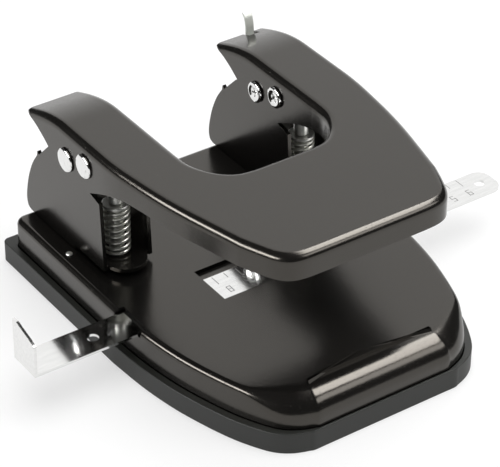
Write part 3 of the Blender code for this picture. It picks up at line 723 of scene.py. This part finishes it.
def punch_profile():
    tip = WEB_UNDER + 0.2
    groove = (RETAINER_Z - 0.3, RETAINER_Z + CLIP_THICK + 0.3)
    return [(0, tip + 0.9), (PUNCH_R - 0.25, tip), (PUNCH_R, tip + 0.15), (PUNCH_R, groove[0]),
            (CLIP_GROOVE_R, groove[0]), (CLIP_GROOVE_R, groove[1]), (PUNCH_R, groove[1]),
            (PUNCH_R, HEAD_LOW + 2.0), (0, HEAD_LOW + 2.0)]


for side, label in SIDES:
    centre = (side * PUNCH_X, PUNCH_Y, 0.0)
    Piece(f"die_ring_{label}", turned(die_profile(), centre)).finish(
        STEEL, "base", [f"die_{label}"], "bright_steel")
    pin = Piece(f"punch_pin_{label}", turned(punch_profile(), centre))
    x, y = centre[:2]
    pin.boolean(box((x - 4.0, x + 4.0), (y - 4.6, y + 4.9), (HEAD_LOW, HEAD_TOP)), "UNION")
    pin.boolean(box((x - 8, x + 8), (y - 3.2, y + 2.6), (LIFT[1] - 2.2, LIFT[1] + 2.2)))
    pin.round_edges(0.3, 3)
    pin.finish(STEEL, f"punch_{label}", [f"punch_{label}"], "bright_steel")
    ring = [(CLIP_GROOVE_R + 0.15, 0.0), (4.75, 0.0), (4.9, 0.15), (4.9, 0.85), (4.75, 1.0),
            (CLIP_GROOVE_R + 0.15, 1.0)]
    Piece(f"clip_ring_{label}", turned([(r, RETAINER_Z + z) for r, z in ring], centre)).finish(
        STEEL, f"punch_{label}", [f"spring_clip_{label}"], "bright_steel")

# %% [markdown]
# ## Return springs
# A coil is a rule, not a drawing: the wire's angle grows evenly and its height follows a pitch
# that flattens at both ends, where the last turn lies on its seat.  A Geometry Nodes tree states
# that rule once, with the sizes as inputs, and sweeps the wire along it.

# %% Node groups


def new_group(name, inputs):
    """A geometry tree with named number inputs; returns the group, its tree and the input values."""
    group = bpy.data.node_groups.new(name, "GeometryNodeTree")
    group.interface.new_socket("Geometry", in_out="INPUT", socket_type="NodeSocketGeometry")
    for label, value in inputs.items():
        kind = "NodeSocketMaterial" if value is None else "NodeSocketFloat"
        group.interface.new_socket(label, in_out="INPUT", socket_type=kind)
    group.interface.new_socket("Geometry", in_out="OUTPUT", socket_type="NodeSocketGeometry")
    tree = Tree(group)
    entry = group.nodes.new("NodeGroupInput")
    return group, tree, {socket.name: Value(tree, socket) for socket in entry.outputs if socket.name}


def close_group(tree, geometry, material):
    """Every tree ends the same way: real geometry with its material."""
    real = tree.add("GeometryNodeRealizeInstances", None, {0: geometry})
    coated = tree.add("GeometryNodeSetMaterial", None, {"Geometry": real, "Material": material})
    exit_node = tree.nodes.new("NodeGroupOutput")
    tree.links.new(coated.socket, exit_node.inputs[0])


def grown(name, group, values, mesh=None):
    """Runs a tree on an object and returns its result as a plain mesh."""
    host = bpy.data.objects.new(name + "_host", mesh or bpy.data.meshes.new(name + "_host"))
    bpy.context.scene.collection.objects.link(host)
    step = host.modifiers.new(name, "NODES")
    step.node_group = group
    for item in group.interface.items_tree:
        if item.in_out == "INPUT" and item.name in values:
            step[item.identifier] = values[item.name]
    depsgraph = bpy.context.evaluated_depsgraph_get()
    result = bpy.data.meshes.new_from_object(host.evaluated_get(depsgraph))
    bpy.data.objects.remove(host, do_unlink=True)
    return result


# %% Return springs
SPRING_R, WIRE_R, SPRING_TURNS = 4.5, 0.6, 7.5
CLOSED_TURNS = 0.8
POINTS_PER_TURN = 48
spring_low, spring_high = node_box("spring_left")


def coil_group():
    inputs = {"Radius": 0, "Wire": 0, "Turns": 0, "Length": 0, "X": 0, "Y": 0, "Z": 0, "Material": None}
    group, tree, given = new_group("coil_spring", inputs)
    line = tree.add("GeometryNodeMeshLine", None, {"Count": int(SPRING_TURNS * POINTS_PER_TURN) + 1})
    index = tree.add("GeometryNodeInputIndex")
    turn = index * (1.0 / POINTS_PER_TURN)
    pitch = given["Wire"] * 2.2
    rest = given["Turns"] - CLOSED_TURNS
    lower = (turn * (1.0 / CLOSED_TURNS)).clip()
    middle = ((turn - CLOSED_TURNS) / (rest - CLOSED_TURNS)).clip()
    upper = ((turn - rest) * (1.0 / CLOSED_TURNS)).clip()
    height = pitch * lower + (given["Length"] - pitch * 2.0) * middle + pitch * upper
    angle = turn * (2 * pi) + pi
    spot = tree.add("ShaderNodeCombineXYZ", None, {
        0: given["X"] + given["Radius"] * angle.math("COSINE"),
        1: given["Y"] + given["Radius"] * angle.math("SINE"),
        2: given["Z"] + height})
    bent = tree.add("GeometryNodeSetPosition", None, {"Geometry": line, "Position": spot})
    path = tree.add("GeometryNodeMeshToCurve", None, {0: bent})
    ring = tree.add("GeometryNodeCurvePrimitiveCircle", None, {"Resolution": 12, "Radius": given["Wire"]})
    wire = tree.add("GeometryNodeCurveToMesh", None,
                    {"Curve": path, "Profile Curve": ring, "Fill Caps": True})
    close_group(tree, wire, given["Material"])
    return group


COIL = coil_group()
for side, label in SIDES:
    values = {"Radius": SPRING_R * MM, "Wire": WIRE_R * MM, "Turns": SPRING_TURNS,
              "Length": (spring_high.z - spring_low.z - 2 * WIRE_R) * MM,
              "X": side * PUNCH_X * MM, "Y": PUNCH_Y * MM, "Z": (spring_low.z + WIRE_R) * MM,
              "Material": WIRE}
    coil = place(f"coil_{label}", grown(f"coil_{label}", COIL, values), WIRE, "base", [f"spring_{label}"],
                 "spring_steel", 50.0)
    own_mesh(coil)

# %% [markdown]
# ## Posts, screws and rivets
# The same small head appears many times, so each kind is modelled once and a second tree sets it
# on points.  Every point carries the turn that faces its head outwards, and each result is one
# mesh for the body that it rides on.

# %% Scatter heads on points


def scatter_group():
    group, tree, given = new_group("heads_on_points", {"Material": None})
    item = tree.nodes.new("GeometryNodeObjectInfo")
    turn = tree.add("GeometryNodeInputNamedAttribute", {"data_type": "FLOAT_VECTOR"}, {"Name": "turn"})
    size = tree.add("GeometryNodeInputNamedAttribute", {"data_type": "FLOAT"}, {"Name": "size"})
    euler = tree.add("FunctionNodeEulerToRotation", None, {0: turn})
    spread = tree.add("GeometryNodeInstanceOnPoints", None, {
        "Points": given["Geometry"], "Instance": Value(tree, item.outputs["Geometry"]),
        "Rotation": euler, "Scale": size})
    close_group(tree, spread, given["Material"])
    return group, item


SCATTER, SCATTER_ITEM = scatter_group()


def scatter(name, head, spots, material, body, replaced, slot):
    """One mesh of heads; spots are (place in mm, turn as Euler angles, size)."""
    mesh = bpy.data.meshes.new(name + "_points")
    mesh.from_pydata([Vector(spot) * MM for spot, turn, size in spots], [], [])
    turns = mesh.attributes.new("turn", "FLOAT_VECTOR", "POINT")
    turns.data.foreach_set("vector", [angle for spot, turn, size in spots for angle in turn])
    sizes = mesh.attributes.new("size", "FLOAT", "POINT")
    sizes.data.foreach_set("value", [size for spot, turn, size in spots])
    SCATTER_ITEM.inputs["Object"].default_value = head
    result = grown(name, SCATTER, {"Material": material}, mesh)
    bpy.data.objects.remove(head, do_unlink=True)
    return place(name, result, material, body, replaced, slot)


def head_object(name, piece):
    """The piece's modifiers baked into a lone head that scatter() copies."""
    depsgraph = bpy.context.evaluated_depsgraph_get()
    mesh = bpy.data.meshes.new_from_object(piece.object.evaluated_get(depsgraph))
    for used in [piece.object, *piece.tools]:
        bpy.data.objects.remove(used, do_unlink=True)
    made = bpy.data.objects.new(name, mesh)
    bpy.context.scene.collection.objects.link(made)
    return made


# %% Posts with plain heads
POST_HEAD_R, POST_HEAD = 4.6, 1.1
ARM_OUT, ARM_IN = HANDLE_OUT + GAP, HANDLE_IN + 0.4


def post_profile():
    """From the domed head at the outside to the tapped end; height 0 is the arm's outer face."""
    length = ARM_OUT - ARM_IN
    bore = 1.6
    return [(0, POST_HEAD), (2.2, POST_HEAD - 0.03), (3.3, POST_HEAD - 0.12), (4.1, POST_HEAD - 0.32),
            (4.5, POST_HEAD - 0.6), (POST_HEAD_R, POST_HEAD - 0.85), (POST_HEAD_R - 0.1, 0.0),
            (BARREL_R, 0.0), (BARREL_R, -length + 0.2), (BARREL_R - 0.2, -length), (bore, -length),
            (bore, -length + 9.0), (0, -length + 9.6)]


TURN_OUT = {1: (0.0, pi / 2, 0.0), -1: (0.0, -pi / 2, 0.0)}
both_posts = [(name, spot) for name, spot in (("pivot", PIVOT), ("lift", LIFT))]
post_spots = [((side * ARM_OUT, *spot), TURN_OUT[side], 1.0)
              for side, label in SIDES for name, spot in both_posts]
posts = head_object("post_head", Piece("post", turned(post_profile())))
scatter("arm_posts", posts, post_spots, CHROME, "handle",
        [f"{name}_post_{label}" for side, label in SIDES for name, spot in both_posts], "chrome")

# %% Cross-slotted screws
SCREW_HEAD_R, SCREW_HEAD, SHANK_R = 4.1, 0.95, 1.5


def screw_profile():
    """A flat head, dished in the middle; height 0 is the arm's inner face."""
    return [(0, SCREW_HEAD - 0.5), (1.4, SCREW_HEAD - 0.48), (2.4, SCREW_HEAD - 0.3), (3.0, SCREW_HEAD),
            (3.7, SCREW_HEAD - 0.12), (4.0, SCREW_HEAD - 0.4), (SCREW_HEAD_R, 0.3),
            (SCREW_HEAD_R - 0.15, 0.0), (SHANK_R, 0.0), (SHANK_R, -6.6), (SHANK_R - 0.4, -7.0), (0, -7.0)]


def cross_slot(piece):
    """Two crossed wedges, wide at the face and narrow at the bottom."""
    for length, width in ((2.35, 0.5), (0.5, 2.35)):
        bm = bmesh.new()
        low = [(-length * 0.45, -width * 0.7), (length * 0.45, -width * 0.7),
               (length * 0.45, width * 0.7), (-length * 0.45, width * 0.7)]
        high = [(-length, -width), (length, -width), (length, width), (-length, width)]
        bottom = [bm.verts.new((x, y, SCREW_HEAD - 1.25)) for x, y in low]
        top = [bm.verts.new((x, y, SCREW_HEAD + 0.3)) for x, y in high]
        bm.faces.new(bottom)
        bm.faces.new(top)
        for i in range(4):
            bm.faces.new((bottom[i], bottom[(i + 1) % 4], top[(i + 1) % 4], top[i]))
        piece.boolean(bm)
    return piece


screw = cross_slot(Piece("screw", turned(screw_profile()))).round_edges(0.08, 2, 35.0)
spins = {("left", "pivot"): 0.4, ("left", "lift"): 1.1, ("right", "pivot"): 0.25, ("right", "lift"): 0.7}
screw_spots = []
for side, label in SIDES:
    for name, spot in both_posts:
        facing = Matrix.Rotation(-side * pi / 2, 3, "Y") @ Matrix.Rotation(spins[label, name], 3, "Z")
        screw_spots.append(((side * (HANDLE_IN - GAP), *spot), tuple(facing.to_euler()), 1.0))
scatter("arm_screws", head_object("screw_head", screw), screw_spots, CHROME, "handle",
        [f"{name}_screw_{label}" for side, label in SIDES for name, spot in both_posts], "chrome")

# %% Rivets
RIVET_HEAD_R = 3.6


def rivet_profile():
    """A set head above, a flat foot below; height 0 is the top of the tower's web."""
    through = SHEET + TOWER_SHEET + 0.9
    dome = [(RIVET_HEAD_R * sin(a), 1.2 * cos(a)) for a in (radians(10 * i) for i in range(10))]
    return dome + [(RIVET_R, 0.0), (RIVET_R, -through), (RIVET_HEAD_R, -through),
                   (RIVET_HEAD_R - 0.1, -through - 0.8), (0, -through - 0.8)]


WEB_TOP = PLATE_TOP + GAP + TOWER_SHEET + GAP
rivet = head_object("rivet_head", Piece("rivet", turned(rivet_profile(), sides=32)))
rivet_spots = [((side * PUNCH_X, y, WEB_TOP), (0, 0, 0), 1.0) for side, label in SIDES for y in RIVET_Y]
scatter("tower_rivets", rivet, rivet_spots, STEEL, "base",
        [f"tower_rivet_{label}_{n}" for side, label in SIDES for n in (1, 2)], "bright_steel")
peg_profile = [(0, 0.9), (0.5, 0.86), (0.95, 0.7), (1.2, 0.45), (PEG_HEAD_R, 0.2), (PEG_R, 0.2),
               (PEG_R, -2.4), (0, -2.4)]
Piece("plate_peg", turned(peg_profile, (*PEG, PLATE_TOP))).finish(
    STEEL, "base", ["locating_rivet"], "bright_steel")

# %% [markdown]
# ## Paper guide
# The guide is a plated strip that slides through the base.  Its left end is folded up into the
# paper's side stop.

# %% Paper guide
STOP_HEIGHT = 15.5
CORNER_R = 5.0


def strip_outline():
    middle, half = (GUIDE_FRONT + GUIDE_REAR) / 2, (GUIDE_REAR - GUIDE_FRONT) / 2
    x = guide_high.x - CORNER_R
    end = arc((x, middle - half + CORNER_R), CORNER_R, -90, 0, 20)
    end += arc((x, middle + half - CORNER_R), CORNER_R, 0, 90, 20)
    return [(guide_low.x, GUIDE_FRONT)] + end + [(guide_low.x, GUIDE_REAR)]


def stop_profile():
    middle, low, top = (GUIDE_FRONT + GUIDE_REAR) / 2, guide_low.z, GUIDE_TOP + STOP_HEIGHT
    crest = smooth_curve([(GUIDE_REAR - 2.4, top), (middle + 1.6, top - 0.9), (GUIDE_FRONT + 2.6, top - 2.6),
                          (GUIDE_FRONT, top - 4.0)], 8)
    return [(GUIDE_FRONT, low), (GUIDE_REAR, low), (GUIDE_REAR, top)] + crest


strip = Piece("guide_strip", prism(strip_outline(), guide_low.z, GUIDE_TOP))
strip.boolean(side_prism(stop_profile(), guide_low.x, guide_low.x + GUIDE_THICK), "UNION")
HOLES = (guide_low.x + 27.0, guide_high.x - 6.2)
for x in HOLES:
    strip.boolean(rod(2.1, 6.0, (x, (GUIDE_FRONT + GUIDE_REAR) / 2 + 0.1, guide_low.z)))
strip.round_edges(0.22, 3)
strip.finish(CHROME, "guide", ["paper_guide"], "chrome")

# %% [markdown]
# ## Scale on the strip
# A rolled mark is a shallow groove that holds a little dark paint.  A tick stands at every 5 mm,
# longer at every 10, and the numerals are built from seven short strokes, as on a digital clock.

# %% Scale on the strip
STROKES = {"a": ((0, 2), (1, 2)), "b": ((1, 1), (1, 2)), "c": ((1, 0), (1, 1)), "d": ((0, 0), (1, 0)),
           "e": ((0, 0), (0, 1)), "f": ((0, 1), (0, 2)), "g": ((0, 1), (1, 1))}
NUMERALS = {"5": "afgcd", "6": "afgedc", "7": "abc", "8": "abcdefg", "9": "gfabcd", "4": "fgbc"}
MARK_WIDTH, MARK_PROUD = 0.28, 0.012
NUMERAL_WIDE, NUMERAL_TALL = 1.5, 1.6           # width, and half the height


def numeral_bars(figure, x, y):
    """Rectangles (low x, high x, low y, high y) for the strokes of one numeral."""
    half = MARK_WIDTH / 2
    bars = []
    for stroke in NUMERALS[figure]:
        (x0, y0), (x1, y1) = STROKES[stroke]
        bars.append((x + x0 * NUMERAL_WIDE - half, x + x1 * NUMERAL_WIDE + half,
                     y + y0 * NUMERAL_TALL - half, y + y1 * NUMERAL_TALL + half))
    return bars


def scale_bars():
    bars = []
    middle = (GUIDE_FRONT + GUIDE_REAR) / 2
    for n, x in enumerate(range(-28, int(guide_high.x) - 10, 5)):
        reach = 4.6 if n % 2 == 0 else 3.0
        bars.append((x - MARK_WIDTH / 2, x + MARK_WIDTH / 2, GUIDE_REAR - 0.6 - reach, GUIDE_REAR - 0.6))
    for figure, x in (("8", -17.0), ("7", 3.0), ("5", guide_high.x - 21.5), ("6", guide_high.x - 14.0)):
        bars += numeral_bars(figure, x, middle - 4.4)
    return bars


def bar_mesh(bars, low, high):
    bm = bmesh.new()
    for x0, x1, y0, y1 in bars:
        corners = [(x0, y0), (x1, y0), (x1, y1), (x0, y1)]
        under = [bm.verts.new((x, y, low)) for x, y in corners]
        over = [bm.verts.new((x, y, high)) for x, y in corners]
        bm.faces.new(under[::-1])
        bm.faces.new(over)
        for i in range(4):
            j = (i + 1) % 4
            bm.faces.new((under[i], under[j], over[j], over[i]))
    return bm


def mark_paint():
    made, tree, shader, place_on = new_material("scale_paint", metallic=0.0, ior=1.5)
    worn = tree.noise(place_on, 900.0, 3.0, 0.6)
    colour = tree.mix(worn, (0.16, 0.16, 0.155), (0.34, 0.34, 0.33))
    surface(tree, shader, colour, 0.5 + worn * 0.1, worn, 0.00001, 0.2)
    return made


marks = Piece("strip_scale", bar_mesh(scale_bars(), GUIDE_TOP - 0.05, GUIDE_TOP + MARK_PROUD))
marks.finish(mark_paint(), "guide", [], "chrome")

# %% Guide rail and handle lock


def rail_profile():
    top, low, wing, wall = PLATE_TOP - SHEET - 0.3, GUIDE_TOP - GUIDE_THICK - 0.2, 5.0, 0.9
    near, far = GUIDE_FRONT - 0.35, GUIDE_REAR + 0.35
    return [(near - wing, top), (near - wing, top - wall), (near - wall, top - wall),
            (near - wall, low - wall), (far + wall, low - wall), (far + wall, top - wall),
            (far + wing, top - wall), (far + wing, top), (far, top), (far, low), (near, low), (near, top)]


rail = Piece("slide_rail", side_prism(rail_profile(), -34.0, 34.0)).round_edges(0.15, 2)
rail.finish(ENAMEL, "base", ["guide_rail"], "bright_steel")


def ribbon(points, thickness):
    """A closed band of even thickness round an open line."""
    left, right = [], []
    for i, here in enumerate(points):
        before, after = points[max(i - 1, 0)], points[min(i + 1, len(points) - 1)]
        heading = atan2(after[1] - before[1], after[0] - before[0])
        across = (-sin(heading) * thickness / 2, cos(heading) * thickness / 2)
        left.append((here[0] + across[0], here[1] + across[1]))
        right.append((here[0] - across[0], here[1] - across[1]))
    return left + right[::-1]


lock_low, lock_high = node_box("lock_slide")
spine = [(46.0, 69.0), (52.0, 68.2), (58.0, 66.7), (63.0, 64.9), (66.0, 64.0), (67.6, 64.6), (68.2, 66.4),
         (68.4, 69.4), (69.2, 72.4), (70.6, 74.2)]
tab = Piece("lock_tab", side_prism(ribbon(smooth_curve(spine, 8), 0.9), lock_low.x, lock_high.x))
tab.round_edges(0.2, 3)
tab.finish(NICKEL, "lock", ["lock_slide"], "chrome")

# %% [markdown]
# ## Studio
# A pale sweep, a camera with a long lens, and large soft lights.  Black gloss only shows what it
# mirrors, so the lights are placed for the folds: one overhead on the right and a dimmer one in
# front of it for the front folds, one low on the left for the curved flank, and a wide one behind
# for the flat tops.  A last light reaches only the matt surfaces, and the floor glows a little, so
# that the cast shadows stay pale.

# %% Camera
CAMERA_PLACE = Vector((-0.41114, -0.58310, 0.53101))
CAMERA_TURN, CAMERA_RISE, CAMERA_ROLL = radians(-34.98), radians(34.98), radians(0.505)
LENS = 177.66


def camera_axes():
    level_reach = cos(CAMERA_RISE)
    back = Vector((sin(CAMERA_TURN) * level_reach, -cos(CAMERA_TURN) * level_reach, sin(CAMERA_RISE)))
    level = Vector((cos(CAMERA_TURN), sin(CAMERA_TURN), 0.0))
    up = back.cross(level)
    right = level * cos(CAMERA_ROLL) + up * sin(CAMERA_ROLL)
    return right, back.cross(right), back


camera_data = bpy.data.cameras.new("camera")
camera_data.lens, camera_data.sensor_width = LENS, 36.0
camera_data.clip_start, camera_data.clip_end = 0.01, 50.0
camera = bpy.data.objects.new("camera", camera_data)
bpy.context.scene.collection.objects.link(camera)
camera.matrix_world = Matrix.Translation(CAMERA_PLACE) @ Matrix(camera_axes()).transposed().to_4x4()
bpy.context.scene.camera = camera

# %% Floor and lights


FLOOR_GLOW = 0.60                               # keeps the cast shadows pale


def floor():
    bm = turned([(0, -0.02), (300, -0.02), (1500, -0.02), (4000, -0.02)], sides=96)
    made = Piece("floor", bm).object
    paper, tree, shader, place_on = new_material("pale_paper", metallic=0.0)
    tone = tree.noise(place_on, 3.0, 2.0)
    pale = tree.mix(tone, (0.90, 0.90, 0.90), (0.93, 0.93, 0.93))
    lit = tree.mix(tone, (0.42, 0.42, 0.42), (0.45, 0.45, 0.45))
    tree.feed(shader, {"Base Color": lit, "Roughness": 0.9,
                       "Emission Color": pale, "Emission Strength": FLOOR_GLOW})
    made.data.materials.append(paper)


def soft_light(name, direction, distance, size, power, glossy=True, diffuse=True):
    """A soft light that faces the piece; it can serve only as a reflection, or only as a fill."""
    data = bpy.data.lights.new(name, "AREA")
    data.shape, data.size, data.size_y = "RECTANGLE", size[0], size[1]
    data.energy = power
    made = bpy.data.objects.new(name, data)
    made.visible_glossy, made.visible_diffuse = glossy, diffuse
    heading = Vector(direction).normalized()
    made.location = heading * distance
    made.rotation_mode = "QUATERNION"
    made.rotation_quaternion = heading.to_track_quat("Z", "Y")
    bpy.context.scene.collection.objects.link(made)


floor()
soft_light("overhead_right", (0.47, -0.05, 0.87), 1.2, (0.95, 0.34), 11.0, diffuse=False)
soft_light("front_right", (0.47, -0.62, 0.62), 1.2, (0.60, 0.34), 2.6, diffuse=False)
soft_light("flank_left", (-0.84, 0.10, 0.5), 1.2, (1.15, 0.34), 17.0, diffuse=False)
soft_light("wide_rear", (0.47, 0.67, 0.45), 1.6, (1.6, 1.85), 10.0)
soft_light("floor_fill", (0.1, -0.2, 1.0), 2.2, (3.0, 3.0), 75.0, glossy=False)
world = bpy.data.worlds.new("studio")
world.use_nodes = True
world.node_tree.nodes["Background"].inputs["Color"].default_value = (1.0, 1.0, 1.0, 1.0)
world.node_tree.nodes["Background"].inputs["Strength"].default_value = 0.04
bpy.context.scene.world = world
bpy.context.scene.view_settings.view_transform = "Standard"
